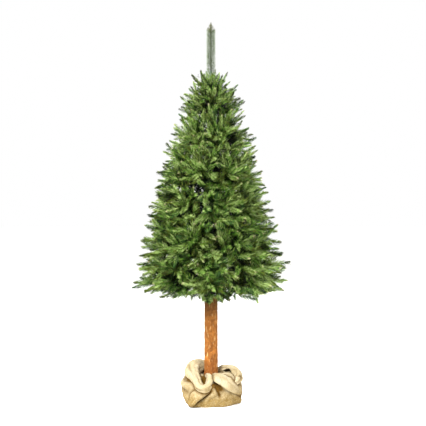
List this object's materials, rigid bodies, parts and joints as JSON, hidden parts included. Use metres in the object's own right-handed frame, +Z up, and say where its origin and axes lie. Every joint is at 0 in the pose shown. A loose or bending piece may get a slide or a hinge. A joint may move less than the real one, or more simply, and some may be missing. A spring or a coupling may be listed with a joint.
{
  "type": "artificial christmas tree on a log trunk",
  "caption": "Slim artificial Christmas tree with dense green sprays and a bare tip brush, on a natural pine log whose foot is wrapped in knotted jute cloth.",
  "frame": {"origin": "centre of the flat underside of the wrapped foot, under the log's axis", "axes": "+Z up along the trunk, -Y towards the viewer of the reference view, +X to that viewer's right"},
  "size_m": [0.8992, 0.9025, 2.2],
  "materials": {
    "pine_bark": "matt bark with flakes",
    "green_paint": "satin",
    "cast_concrete": "rough",
    "jute": "coarse woven cloth",
    "needles_grey": "matt needles",
    "needles_dark": "matt needles",
    "needles_mid": "matt needles",
    "needles_light": "matt needles"
  },
  "bodies": {
    "root": {"trunk_log": "pine_bark", "centre_pole": "green_paint", "stand_block": "cast_concrete", "jute_wrap": "jute", "top_brush": "needles_grey", "foliage_1_1": "needles_dark", "foliage_1_2": "needles_mid", "foliage_1_3": "needles_light", "foliage_1_4": "needles_dark", "foliage_1_5": "needles_mid", "foliage_1_6": "needles_light", "foliage_1_7": "needles_dark", "foliage_1_8": "needles_mid", "foliage_2_1": "needles_mid", "foliage_2_2": "needles_light", "foliage_2_3": "needles_dark", "foliage_2_4": "needles_mid", "foliage_2_5": "needles_light", "foliage_2_6": "needles_dark", "foliage_2_7": "needles_mid", "foliage_3_1": "needles_light", "foliage_3_2": "needles_dark", "foliage_3_3": "needles_mid", "foliage_3_4": "needles_light", "foliage_3_5": "needles_dark", "foliage_3_6": "needles_mid", "foliage_3_7": "needles_light", "foliage_4_1": "needles_dark", "foliage_4_2": "needles_mid", "foliage_4_3": "needles_light", "foliage_4_4": "needles_dark", "foliage_4_5": "needles_mid", "foliage_4_6": "needles_light", "foliage_5_1": "needles_mid", "foliage_5_2": "needles_light", "foliage_5_3": "needles_dark", "foliage_5_4": "needles_mid", "foliage_5_5": "needles_light", "foliage_6_1": "needles_light", "foliage_6_2": "needles_dark", "foliage_6_3": "needles_mid", "foliage_6_4": "needles_light"}
  },
  "joints": []
}
